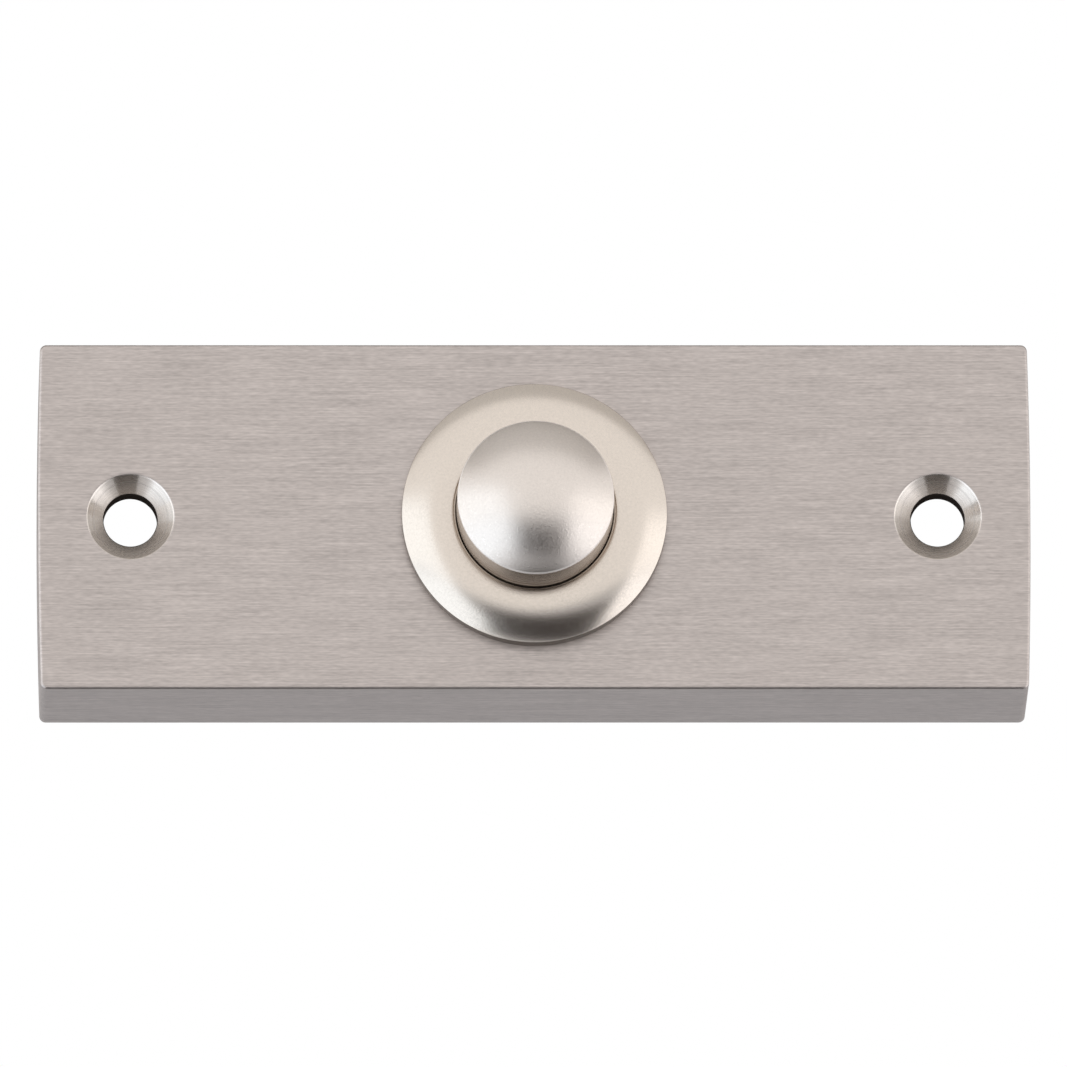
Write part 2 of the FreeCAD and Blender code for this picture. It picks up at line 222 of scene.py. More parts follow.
@dataclass(frozen=True)
class Finish:
    """One finish: its metal or plastic, and the marks that working it has left.

    mark is the width of the finest marks, relief their height, and reach the length of a brushed
    scratch. shade and gloss say how much the marks change colour and roughness. axis_x is how far
    from the middle the axis of turned rings lies, to both sides.
    """

    name: str
    colour: tuple[float, float, float]
    grain: Grain
    roughness: float
    metallic: float = 1.0
    mark: float = 0.1
    reach: float = 4.0
    relief: float = 0.001
    shade: float = 0.04
    gloss: float = 0.04
    anisotropy: float = 0.0
    axis_x: float = 0.0
    specular: float = 0.5

    def marks(self, sheet: Sheet) -> Socket:
        """The pattern of the marks on Object coordinates.

        Args:
            sheet: the material's tree.

        Returns:
            A value about 0 to 1 that follows the marks.
        """
        place = sheet.node("TexCoord", {})
        fine = 1 / (self.mark * MM)
        if self.grain is Grain.BRUSHED:
            return self.scratches(sheet, self.upright_at_ends(sheet, place), fine)
        if self.grain is Grain.TURNED:
            at = self.round_axis(sheet, place, fine)
        else:
            at = sheet.vector("MULTIPLY", place.outputs["Object"], (fine,) * 3)
        return sheet.noise(at, NOISE_DETAIL[self.grain], NOISE_ROUGHNESS)

    def scratches(self, sheet: Sheet, at: Socket, fine: float) -> Socket:
        """Long noise along X in several layers, on a point that sways a little from side to side.

        Args:
            sheet: the material's tree.
            at: the point that the scratches are laid on.
            fine: marks per metre.

        Returns:
            The layers' weighted sum.
        """
        along = 1 / (self.reach * MM)
        slow = sheet.vector("MULTIPLY", at, (CLOUDS_PER_MM / MM,) * 3)
        sway = sheet.vector("SUBTRACT", sheet.noise(slow, 1.0, output="Color"), MID_GREY)
        bent = sheet.vector("ADD", at, sheet.vector("MULTIPLY", sway, (0.0, SWAY * MM, SWAY * MM)))
        total = None
        for layer in SCRATCH_LAYERS:
            scale = (along / layer.length, fine / layer.width, fine / layer.width)
            value = sheet.noise(sheet.vector("MULTIPLY", bent, scale), layer.detail, SCRATCH_ROUGHNESS)
            value = sheet.math("MULTIPLY", value, layer.weight)
            total = value if total is None else sheet.math("ADD", total, value)
        return total

    def round_axis(self, sheet: Sheet, place: bpy.types.Node, fine: float) -> Socket:
        """The distance from the axis of the rings, and how far out, in marks.

        Args:
            sheet: the material's tree.
            place: its Texture Coordinate node.
            fine: marks per metre.

        Returns:
            The point that the rings' noise is read at.
        """
        point = sheet.split(place.outputs["Object"])
        across = sheet.math("SUBTRACT", sheet.math("ABSOLUTE", point["X"]), self.axis_x * MM)
        squares = [sheet.math("MULTIPLY", side, side) for side in (across, point["Z"])]
        radius = sheet.math("SQRT", sheet.math("ADD", *squares))
        scaled = [sheet.math("MULTIPLY", value, fine) for value in (radius, point["Y"])]
        return sheet.node("CombineXYZ", dict(zip("XY", scaled))).outputs[0]

    @staticmethod
    def upright_at_ends(sheet: Sheet, place: bpy.types.Node) -> Socket:
        """Object coordinates whose X and Z change places on faces that look along X.

        Args:
            sheet: the material's tree.
            place: its Texture Coordinate node.

        Returns:
            The point that scratches along X are laid on.
        """
        level = place.outputs["Object"]
        point = sheet.split(level)
        upright = sheet.node("CombineXYZ", {axis: point[source] for axis, source in zip("XYZ", "ZYX")})
        aside = sheet.math("ABSOLUTE", sheet.split(place.outputs["Normal"])["X"])
        ends = sheet.math("GREATER_THAN", aside, LOOKS_ALONG_X)
        inputs = {"Factor": ends, "A": level, "B": upright.outputs[0]}
        return sheet.node("Mix", inputs, data_type="VECTOR").outputs["Result"]

    def material(self) -> bpy.types.Material:
        """The finish as a Blender material.

        Returns:
            The material, whose constants stand on the shader's own sockets.
        """
        sheet = Sheet(bpy.data.materials.new(self.name))
        marks = self.marks(sheet)
        dark = tuple(c * (1 - self.shade) for c in self.colour)
        light = tuple(min(c * (1 + self.shade), 1.0) for c in self.colour)
        inputs = {
            "Base Color": sheet.tint(marks, dark, light),
            "Roughness": sheet.ramp(marks, self.roughness + self.gloss, self.roughness - self.gloss),
            "Metallic": self.metallic,
            "Specular IOR Level": self.specular,
            "Normal": sheet.node("Bump", {"Distance": self.relief * MM, "Height": marks}).outputs[0],
        }
        if self.anisotropy:
            tangent = sheet.node("Tangent", {}, direction_type="UV_MAP", uv_map=SURFACE_MAP)
            inputs["Tangent"] = tangent.outputs[0]
            inputs["Anisotropic"] = self.anisotropy
            inputs["Anisotropic Rotation"] = QUARTER_TURN
        sheet.fill(sheet.nodes["Principled BSDF"], inputs)
        return sheet.owner


BRUSHED_NICKEL = Finish(
    "brushed nickel", (0.558, 0.497, 0.466), Grain.BRUSHED, 0.36,
    mark=0.12, reach=3.0, relief=0.003, shade=0.53, gloss=0.10, anisotropy=0.6,
)
TURNED_NICKEL = Finish(
    "turned nickel", (0.76, 0.695, 0.64), Grain.TURNED, 0.25,
    mark=0.13, relief=0.002, shade=0.30, gloss=0.09, anisotropy=0.8, axis_x=30.9,
)
# The screw holes' drilled wall, painted near black and without gloss: painted shade inside the hole.
SHADE_PAINTED_DRILLED_WALL = Finish(
    "hole wall painted dark as shade", (0.035, 0.028, 0.024), Grain.CAST, 0.85, metallic=0.0, specular=0.0,
    mark=0.2, relief=0.004, shade=0.20, gloss=0.08,
)
SATIN_DOME = Finish(
    "satin dome", (0.755, 0.685, 0.63), Grain.BLASTED, 0.32,
    mark=0.16, relief=0.012, shade=0.10, gloss=0.11,
)
# A lighter copy of the dome's nickel for its rounded rim: a painted highlight line.
HIGHLIGHT_PAINTED_RIM = Finish(
    "rim painted as a highlight", (0.95, 0.89, 0.84), Grain.BLASTED, 0.55,
    mark=0.15, relief=0.003, shade=0.04, gloss=0.05,
)
# A darker copy of the button's satin nickel for its side and works: painted shade.
SHADE_PAINTED_SATIN_SIDE = Finish(
    "button flank painted in shade", (0.37, 0.305, 0.25), Grain.TURNED, 0.26,
    mark=0.09, relief=0.002, shade=0.08, gloss=0.05,
)
SATIN_COLLAR = Finish(
    "satin collar", (0.73, 0.65, 0.575), Grain.BLASTED, 0.22,
    mark=0.17, relief=0.003, shade=0.08, gloss=0.07,
)
# A darker copy of the satin collar for its side and edge: painted shade.
SHADE_PAINTED_COLLAR_SIDE = Finish(
    "collar flank painted in shade", (0.24, 0.205, 0.175), Grain.TURNED, 0.28,
    mark=0.09, relief=0.002, shade=0.08, gloss=0.05,
)
BACK_NICKEL = Finish(
    "plated casting", (0.62, 0.56, 0.50), Grain.CAST, 0.48,
    mark=0.9, relief=0.012, shade=0.12, gloss=0.10,
)
TURNED_BRASS = Finish(
    "turned brass", (0.80, 0.60, 0.28), Grain.TURNED, 0.28,
    mark=0.10, relief=0.002, shade=0.10, gloss=0.07,
)
TERMINAL_BRASS = Finish(
    "terminal brass", (0.83, 0.64, 0.32), Grain.CAST, 0.26,
    mark=0.25, relief=0.002, shade=0.08, gloss=0.07,
)
BRONZE = Finish(
    "phosphor bronze", (0.76, 0.47, 0.27), Grain.TURNED, 0.25,
    mark=0.12, relief=0.001, shade=0.07, gloss=0.05,
)
ZINC = Finish(
    "zinc plated steel", (0.66, 0.68, 0.70), Grain.CAST, 0.34,
    mark=0.5, relief=0.003, shade=0.07, gloss=0.08,
)
SPRING_STEEL = Finish(
    "blued spring steel", (0.34, 0.33, 0.33), Grain.CAST, 0.32,
    mark=0.35, relief=0.002, shade=0.12, gloss=0.08,
)
NYLON = Finish(
    "white nylon", (0.80, 0.78, 0.72), Grain.MOULDED, 0.46, metallic=0.0,
    mark=1.2, relief=0.004, shade=0.03, gloss=0.05,
)
PHENOLIC = Finish(
    "black moulding", (0.022, 0.020, 0.018), Grain.MOULDED, 0.38, metallic=0.0,
    mark=0.6, relief=0.006, shade=0.30, gloss=0.08,
)


@cache
def dress(finish: Finish) -> bpy.types.Material:
    """The material of a finish, made once and then shared."""
    return finish.material()


def dress_node(node: str, finish: Finish) -> None:
    """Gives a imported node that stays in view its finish.

    Args:
        node: the node's name.
        finish: what it is dressed in.
    """
    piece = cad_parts[node]
    piece.data.materials.clear()
    piece.data.materials.append(dress(finish))
    log.info("%s: packed node, finish %s", node, finish.name)


def add(name: str, data: bpy.types.ID) -> bpy.types.Object:
    """Puts a new object into the scene.

    Args:
        name: its name.
        data: its mesh, lamp or camera.

    Returns:
        The object.
    """
    made = bpy.data.objects.new(name, data)
    bpy.context.scene.collection.objects.link(made)
    return made


@dataclass
class Patch:
    """A grid of points in millimetres, x across, y back and z up, with its place on the surface.

    points has the shape (rows, columns, 3) and along, the surface's own measure, (rows, columns, 2).
    finish is given where the piece has more than one.
    """

    points: Array
    along: Array
    finish: Finish | None = None

    def rows(self, first: int, last: int | None, finish: Finish) -> "Patch":
        """The rows from first to before last, in a finish of their own."""
        return Patch(self.points[first:last], self.along[first:last], finish)


def spread(*arrays: Array) -> Array:
    """Arrays of one grid stacked as the last axis, after broadcasting."""
    return np.stack(np.broadcast_arrays(*arrays), axis=-1)


def unit(rows: Array) -> Array:
    """Each row as a unit vector."""
    return rows / np.linalg.norm(rows, axis=1, keepdims=True)


def measured(line: Array) -> Array:
    """How far along a line each of its points lies."""
    return np.concatenate([[0], np.cumsum(np.linalg.norm(np.diff(line, axis=0), axis=1))])


def eased(rows: Array, steps: int = 5) -> Array:
    """Rounds the corners of a closed outline.

    Each corner becomes an arc that touches both its edges: its centre lies on the corner's bisector,
    the radius over the sine of the half angle away, and its points turn evenly between the two
    touching points.

    Args:
        rows: for each corner its two coordinates and its radius, or 0 to leave it sharp.
        steps: points on each arc.

    Returns:
        The outline's points, as rows of two numbers.
    """
    corners, radii = rows[:, :2], rows[:, 2]
    before = unit(np.roll(corners, 1, axis=0) - corners)
    after = unit(np.roll(corners, -1, axis=0) - corners)
    half = np.arccos(np.clip(np.sum(before * after, axis=1), -NEARLY_ONE, NEARLY_ONE)) / 2
    bisector = before + after
    bisector = bisector / np.maximum(np.linalg.norm(bisector, axis=1, keepdims=True), TINY)
    centre = corners + bisector * (radii / np.sin(half))[:, None]
    start = corners + before * (radii / np.tan(half))[:, None] - centre
    end = corners + after * (radii / np.tan(half))[:, None] - centre
    turn = (np.pi - 2 * half)[:, None, None]
    share = np.linspace(0, 1, steps)[None, :, None]
    spoke = np.sin((1 - share) * turn) * start[:, None] + np.sin(share * turn) * end[:, None]
    points = (centre[:, None] + spoke / np.sin(turn)).reshape(-1, 2)
    keep = np.linalg.norm(points - np.roll(points, 1, axis=0), axis=1) > TINY
    return points[keep]


def ring_section(inner: float, outer: float, reach: Reach, edge_r: float) -> Array:
    """The section of a flat ring, from its bore to its outer radius, with all four edges rounded."""
    corners = (inner, reach.front), (outer, reach.front), (outer, reach.back), (inner, reach.back)
    return eased(np.array([(*corner, edge_r) for corner in corners]))


def eased_edge(edge_r: float) -> list[tuple[float, float]]:
    """How far in and how far down the points of a rounded edge lie, from its face to its side."""
    bend = np.linspace(np.pi / 2, 0, EASE_POINTS)
    return [(edge_r * (1 - math.cos(b)), edge_r * (1 - math.sin(b))) for b in bend]


def bowed(start: tuple, end: tuple, sagitta: float, steps: int) -> Array:
    """A circular arc from start to end that stands off the chord by the sagitta, to its right.

    Args:
        start: first point.
        end: last point.
        sagitta: height of the arc over the middle of its chord.
        steps: how many points it has.

    Returns:
        The arc's points, as rows of two numbers.
    """
    start, end = np.array(start, float), np.array(end, float)
    chord = np.linalg.norm(end - start)
    way = (end - start) / chord
    right = np.array([way[1], -way[0]])
    radius = (chord**2 / 4 + sagitta**2) / (2 * sagitta)
    half = math.asin(chord / (2 * radius))
    turn = np.linspace(-half, half, steps)[:, None]
    middle = (start + end) / 2
    return middle + way * radius * np.sin(turn) + right * (radius * np.cos(turn) - radius + sagitta)


def crown_sagitta(width: float, height: float) -> float:
    """The sagitta of an arc that starts level and falls by height over width."""
    radius = (width**2 + height**2) / (2 * height)
    return radius - math.sqrt(radius**2 - (width**2 + height**2) / 4)


def eased_crown(
    wide: float, rim_out: float, inner: float, top: float, edge_r: float, steps: int
) -> Array:
    """A crowned face with a rounded outer edge.

    The edge's circle is followed from the side until it has the slope of the crown, two times the
    arc tangent of its height over its width, and the crown's own arc runs on to the level inner end.

    Args:
        wide: radius of the side.
        rim_out: height at which the edge's circle would end level.
        inner: radius at which the crown is level.
        top: height there.
        edge_r: radius of the edge.
        steps: points on the crown.

    Returns:
        Rows of radius and height, from the side to the inner end, the first EDGE_POINTS on the edge.
    """
    slope = 2 * math.atan((top - rim_out) / (wide - edge_r - inner))
    bend = np.linspace(0, np.pi / 2 - slope, EDGE_POINTS)
    edge = spread(wide - edge_r * (1 - np.cos(bend)), rim_out - edge_r * (1 - np.sin(bend)))
    foot = tuple(edge[-1])
    sagitta = crown_sagitta(foot[0] - inner, top - foot[1])
    return np.vstack([edge, bowed(foot, (inner, top), sagitta, steps)[1:]])


def closer(profile: Array, spacing: float) -> Array:
    """Adds points to a line and keeps its corners.

    Args:
        profile: the line, as rows of two numbers.
        spacing: the most that its points may be apart.

    Returns:
        The line with its new points.
    """
    run = measured(profile)
    every = np.union1d(run, np.arange(0, run[-1], spacing))
    return np.stack([np.interp(every, run, profile[:, k]) for k in (0, 1)], axis=1)


@dataclass(frozen=True)
class Thread:
    """A screw thread cut into a round surface between two heights.

    flank is how steeply the wave rises, and flat how much of it is cut off at the crest.
    """

    pitch: float
    depth: float
    start: float
    end: float
    flank: float = 1.3
    flat: float = 0.12

    def groove(self, angle: Array, out: Array) -> Array:
        """How deep the groove is at a point of the surface.

        The depth is a triangle wave of the height less the helix's rise at that angle, with its
        crest and root cut flat, and it fades to nothing over half a pitch at both ends.

        Args:
            angle: angle round the axis, in radians.
            out: height in front of the wall.

        Returns:
            The depth of the groove there.
        """
        phase = np.mod(out / self.pitch - angle / (2 * np.pi), 1)
        wave = np.clip(self.flank * (1 - np.abs(2 * phase - 1)) - self.flat, 0, 1)
        inwards = out - self.start, self.end - out
        first, last = (np.clip(way / (self.pitch / 2), 0, 1) for way in inwards)
        return self.depth * wave * first * last


def turned(
    profile: Array,
    x: float = 0.0,
    closed: bool = True,
    thread: Thread | None = None,
    steps: int = TURN_STEPS,
    finish: Finish | None = None,
) -> Patch:
    """Turns a profile about an axis that runs from back to front.

    A profile point of radius r and height out lands at x + r cos a, -out, r sin a for each angle a.
    A thread takes its groove off the radius where the surface is a plain cylinder.

    Args:
        profile: rows of radius and height.
        x: where the axis lies along the plate.
        closed: whether the profile's last point joins its first.
        thread: a thread cut into it.
        steps: columns round the axis.
        finish: its finish, where the piece has more than one.

    Returns:
        The surface.
    """
    line = np.vstack([profile, profile[:1]]) if closed else profile
    angle = np.linspace(0, 2 * np.pi, steps + 1)[None, :]
    radius, out = line[:, :1] + 0 * angle, line[:, 1:] + 0 * angle
    if thread is not None:
        widest = np.isclose(line[:, 0], np.max(line[:, 0] * (line[:, 1] < thread.end)))[:, None]
        radius = radius - widest * thread.groove(angle, out)
    points = spread(x + radius * np.cos(angle), -out, radius * np.sin(angle))
    return Patch(points, spread(angle * np.mean(line[:, 0]), measured(line)[:, None]), finish)


def notched(
    land: Array, notch: Array, width: float, count: int, land_steps: int, notch_steps: int
) -> Patch:
    """Carries a section round the axis and swaps it for a second one in evenly spaced notches.

    In a notch the stations are planes side by side, so that its walls are parallel: a point of
    radius r stands at the arc sine of its sideways place over r. Between notches the stations
    share out the angle that is left at that radius.

    Args:
        land: the full section, rows of radius and height.
        notch: the section in a notch, with as many rows.
        width: width of a notch.
        count: how many notches there are.
        land_steps: stations on each land.
        notch_steps: stations in each notch.

    Returns:
        The surface.
    """
    land, notch = (np.vstack([section, section[:1]]) for section in (land, notch))
    period = 2 * np.pi / count
    aside = np.linspace(-width / 2, width / 2, notch_steps)[:, None]
    in_notch = np.arcsin(aside / notch[None, :, 0])
    edge = np.arcsin(width / 2 / land[:, 0])[None, :]
    on_land = edge + np.linspace(0, 1, land_steps)[:, None] * (period - 2 * edge)
    turn = (np.arange(count) * period)[:, None, None]
    angle = (np.vstack([in_notch, on_land])[None] + turn).reshape(-1, len(land))
    radius, out = (
        np.tile(np.vstack([in_notch * 0 + notch[:, k], on_land * 0 + land[:, k]]), (count, 1))
        for k in (0, 1)
    )
    angle, radius, out = (np.vstack([a, a[:1]]) for a in (angle, radius, out))
    points = spread(radius * np.cos(angle), -out, radius * np.sin(angle))
    return Patch(points, spread(angle * np.mean(radius), out))


@dataclass
class Piece:
    """A finished piece: its patches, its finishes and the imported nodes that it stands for."""

    name: str
    patches: list[Patch]
    finishes: list[Finish]
    slot: str
    nodes: tuple[str, ...]
    body: str = HOUSING

    def build(self) -> bpy.types.Object:
        """Welds the patches into one closed mesh, dresses it and fixes it to its body.

        Returns:
            The new object, at the origin with its place in its mesh.
        """
        mesh = bpy.data.meshes.new(self.name)
        corners, quads, along, numbers = self.gathered()
        mesh.from_pydata(corners * MM, [], quads)
        layer = mesh.uv_layers.new(name=SURFACE_MAP)
        layer.uv.foreach_set("vector", (along[quads.ravel()] * MM).astype(np.float32).ravel())
        mesh.polygons.foreach_set("material_index", numbers)
        self.weld(mesh)
        mesh.set_sharp_from_angle(angle=CREASE)
        for finish in self.finishes:
            mesh.materials.append(dress(finish))
        piece = add(self.name, mesh)
        weighted = piece.modifiers.new("even shading", "WEIGHTED_NORMAL")
        weighted.keep_sharp = True
        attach(piece, self.body)
        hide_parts(*self.nodes)
        log.info("%s: %d faces on body %s", self.name, len(mesh.polygons), self.body)
        return piece

    def gathered(self) -> tuple[Array, Array, Array, Array]:
        """Puts the patches together.

        Returns:
            Their points, quads, surface measures and the number of each quad's finish.
        """
        corners, quads, along, numbers = [], [], [], []
        first = 0
        for patch in self.patches:
            rows, columns = patch.points.shape[:2]
            index = first + np.arange(rows * columns).reshape(rows, columns)
            cells = spread(index[:-1, :-1], index[:-1, 1:], index[1:, 1:], index[1:, :-1])
            quads.append(cells.reshape(-1, 4))
            corners.append(patch.points.reshape(-1, 3))
            along.append(patch.along.reshape(-1, 2))
            number = self.finishes.index(patch.finish) if patch.finish else 0
            numbers.append(np.full(len(quads[-1]), number, np.int32))
            first += rows * columns
        return np.vstack(corners), np.vstack(quads), np.vstack(along), np.concatenate(numbers)

    @staticmethod
    def weld(mesh: bpy.types.Mesh) -> None:
        """Joins what meets, drops faces with no area and turns every face outwards.

        Args:
            mesh: the mesh that is changed.
        """
        work = bmesh.new()
        work.from_mesh(mesh)
        bmesh.ops.remove_doubles(work, verts=work.verts, dist=WELD * MM)
        bmesh.ops.dissolve_degenerate(work, edges=work.edges, dist=WELD * MM)
        bmesh.ops.recalc_face_normals(work, faces=work.faces)
        for face in work.faces:
            face.smooth = True
        work.to_mesh(mesh)
        work.free()


@dataclass
class CoverPlate:
    """The hollow-backed plate: outline, cavity, countersunk holes and the seat of the ring nut."""

    side_wall: float = 2.2
    cavity_out: float = 9.0
    end_crown: float = 0.2
    corner_r: float = 0.5
    edge_r: float = 0.2
    cavity_corner_r: float = 1.0
    cavity_edge_r: float = 0.15
    rim_break: float = 0.08
    screw_x: float = 30.9
    hole_r: float = 2.05
    sink_r: float = 3.35
    hole_break: float = 0.012
    barrel_hole_r: float = 8.6
    nut_seat_r: float = 11.0
    nut_seat_out: float = 9.2
    cut_x: float = 22.0
    spacing: float = 0.5
    end_steps: int = 51
    corner_steps: int = 9
    face_rings: tuple[float, ...] = (0.0, 0.02, 0.35, 0.7, 0.98, 1.0)
    cone_rings: tuple[float, ...] = (0.0, 0.06, 0.90, 0.96)
    least_row: float = 0.01
    reach: Reach = field(default_factory=lambda: Reach.of("face_plate"))

    def spans(self, inset: float, corner_r: float, crown: float) -> list[Array]:
        """The plate's outline in four runs that meet at the two cuts beside the middle.

        The long sides are straight, the ends bow out by a parabola of the height, and an arc joins
        them at each corner.

        Args:
            inset: how far the outline lies inside the plate's own.
            corner_r: radius of the corners.
            crown: how far the ends bow.

        Returns:
            The runs over the top to the left, round the left end, along the bottom to the right,
            and round the right end, as rows of x and z.
        """
        half_l = (self.reach.right - self.reach.left) / 2 - inset
        half_h = (self.reach.top - self.reach.bottom) / 2 - inset
        middle = np.linspace(self.cut_x, -self.cut_x, round(2 * self.cut_x / self.spacing) + 1)
        top = spread(middle, half_h)
        level = np.linspace(1, -1, self.end_steps) * (half_h - 2 * corner_r)
        level = np.concatenate([[half_h], level, [-half_h]])
        end = spread(-half_l + crown * (level / half_h) ** 2, level, 0.0)
        end[[0, -1], 2] = corner_r
        cut = np.array([[-self.cut_x, half_h, 0.0], [-self.cut_x, -half_h, 0.0]])
        left = self.drawn(eased(np.vstack([cut[:1], end, cut[1:]]), self.corner_steps))
        return [top, left, -top, -left]

    def drawn(self, line: Array) -> Array:
        """Fills in the straight stretches between the cut and the corner at both ends of a line.

        Args:
            line: an end's run, from cut to cut.

        Returns:
            The run with points along its straight stretches.
        """
        share = np.linspace(0, 1, round((self.reach.right - self.cut_x) / self.spacing))[:, None]
        head, tail = (a + share * (b - a) for a, b in (line[:2], line[-2:]))
        return np.vstack([head, line[2:-2], tail])

    @staticmethod
    def loop(spans: list[Array]) -> Array:
        """The runs as one closed outline."""
        return np.vstack([run[:-1] for run in spans] + [spans[0][:1]])

    def borders(self, spans: list[Array]) -> list[Array]:
        """Closed borders of the left, middle and right thirds of a face.

        Args:
            spans: the face's outline in four runs.

        Returns:
            Three outlines that share the points of the two cuts.
        """
        top, left, bottom, right = spans
        share = np.linspace(0, 1, round((self.reach.top - self.reach.bottom) / self.spacing))[:, None]
        cut_left, cut_right = (run[-1] + share * (run[0] - run[-1]) for run in (left, right))
        return [
            np.vstack([left, cut_left[1:]]),
            np.vstack([top, cut_left[::-1][1:], bottom[1:], cut_right[::-1][1:]]),
            np.vstack([right, cut_right[1:]]),
        ]

    def pierced(
        self, border: Array, spoke: Array, centre: float, radius: float, out: float, finish: Finish
    ) -> Patch:
        """A flat region with a round hole: straight lines run from the hole's edge to the border.

        Args:
            border: the region's closed border.
            spoke: unit directions from the hole's centre, one for each border point.
            centre: where the hole lies along the plate.
            radius: the hole's radius.
            out: height of the face.
            finish: its finish.

        Returns:
            The surface.
        """
        rim = np.array([centre, 0.0]) + radius * spoke
        flat = rim + np.array(self.face_rings)[:, None, None] * (border - rim)
        return Patch(spread(flat[..., 0], -out, flat[..., 1]), flat, finish)

    @staticmethod
    def bored(profile: Array, spoke: Array, centre: float, finish: Finish) -> Patch:
        """A hole's wall: the profile's radius is laid off along each spoke at the profile's height.

        Args:
            profile: rows of radius and height.
            spoke: unit directions from the hole's centre.
            centre: where the hole lies along the plate.
            finish: its finish.

        Returns:
            The surface.
        """
        radius, out = profile[:, :1], profile[:, 1:]
        angle = np.unwrap(np.arctan2(spoke[:, 1], spoke[:, 0]))[None, :]
        points = spread(centre + radius * spoke[None, :, 0], -out, radius * spoke[None, :, 1])
        return Patch(points, spread(angle * np.mean(radius), measured(profile)[:, None]), finish)

    def sink_profiles(self) -> tuple[Array, Array]:
        """The two sections of a screw hole.

        Returns:
            The countersink from the face to its foot, and the hole from there to the hollow, whose near
            black is painted shade.
        """
        mouth = np.array([
            [self.sink_r + self.hole_break, self.reach.front],
            [self.sink_r - self.hole_break, self.reach.front - self.hole_break],
        ])
        foot = np.array([self.hole_r, self.reach.front - (self.sink_r - self.hole_r)])
        cone = mouth[1] + np.array(self.cone_rings)[:, None] * (foot - mouth[1])
        return np.vstack([mouth[:1], cone]), np.array([cone[-1], foot, [self.hole_r, self.cavity_out]])

    def seat_profile(self) -> Array:
        """The barrel's hole and the nut's seat, from the face to the hollow."""
        radii = self.barrel_hole_r, self.barrel_hole_r, self.nut_seat_r, self.nut_seat_r
        return spread(radii, (self.reach.front, self.nut_seat_out, self.nut_seat_out, self.cavity_out))

    def walls(self) -> list[Patch]:
        """The outside with the rim against the wall, and the hollow's sides.

        Each row is one outline at one height: a quarter circle eases the front edge, the side runs
        back to the rim, and the hollow's wall runs forward to its own eased corner.

        Returns:
            The outside and the inside, which meet at the rim's inner edge.
        """
        brk, back = self.rim_break, self.reach.back
        outer = [(by, self.reach.front - down) for by, down in eased_edge(self.edge_r)]
        outer += [(0.0, back + brk), (brk, back)]
        inner = [(self.side_wall - brk, back), (self.side_wall, back + brk)]
        inner += [
            (self.side_wall + by, self.cavity_out - down)
            for by, down in reversed(eased_edge(self.cavity_edge_r))
        ]
        loops = [self.loop(self.spans(by, self.corner_r - by, self.end_crown)) for by, _ in outer]
        loops += [self.loop(self.spans(by, self.cavity_corner_r, 0.0)) for by, _ in inner]
        outline = np.stack(loops)
        out = np.array([height for _, height in outer + inner])
        depth = np.concatenate([[0], np.cumsum(np.abs(np.diff(out)) + self.least_row)])[:, None]
        points = spread(outline[..., 0], -out[:, None], outline[..., 1])
        walls = Patch(points, spread(measured(outline[0])[None, :], depth))
        rim = len(outer)
        return [walls.rows(0, rim + 1, BRUSHED_NICKEL), walls.rows(rim, None, BACK_NICKEL)]

    def build(self) -> None:
        """Makes the plate and dresses its face, its countersinks and its hollow."""
        front = self.borders(self.spans(self.edge_r, self.corner_r - self.edge_r, self.end_crown))
        hollow_inset = self.side_wall + self.cavity_edge_r
        hollow = self.borders(self.spans(hollow_inset, self.cavity_corner_r, 0.0))
        sink, drilled = self.sink_profiles()
        # The drilled wall's near black is painted shade.
        screw_hole = [(sink, TURNED_NICKEL), (drilled, SHADE_PAINTED_DRILLED_WALL)]
        holes = (
            (-self.screw_x, screw_hole),
            (0.0, [(self.seat_profile(), BACK_NICKEL)]),
            (self.screw_x, screw_hole),
        )
        patches = self.walls()
        for (centre, bores), face, floor in zip(holes, front, hollow):
            spoke = unit(face - np.array([centre, 0.0]))
            mouth, end = bores[0][0][0], bores[-1][0][-1]
            patches.append(self.pierced(face, spoke, centre, *mouth, BRUSHED_NICKEL))
            patches.append(self.pierced(floor, spoke, centre, *end, BACK_NICKEL))
            patches += [self.bored(profile, spoke, centre, finish) for profile, finish in bores]
        Piece(
            "cover_plate", patches, [BRUSHED_NICKEL, TURNED_NICKEL, BACK_NICKEL, SHADE_PAINTED_DRILLED_WALL],
            "brushed_nickel", ("face_plate",),
        ).build()


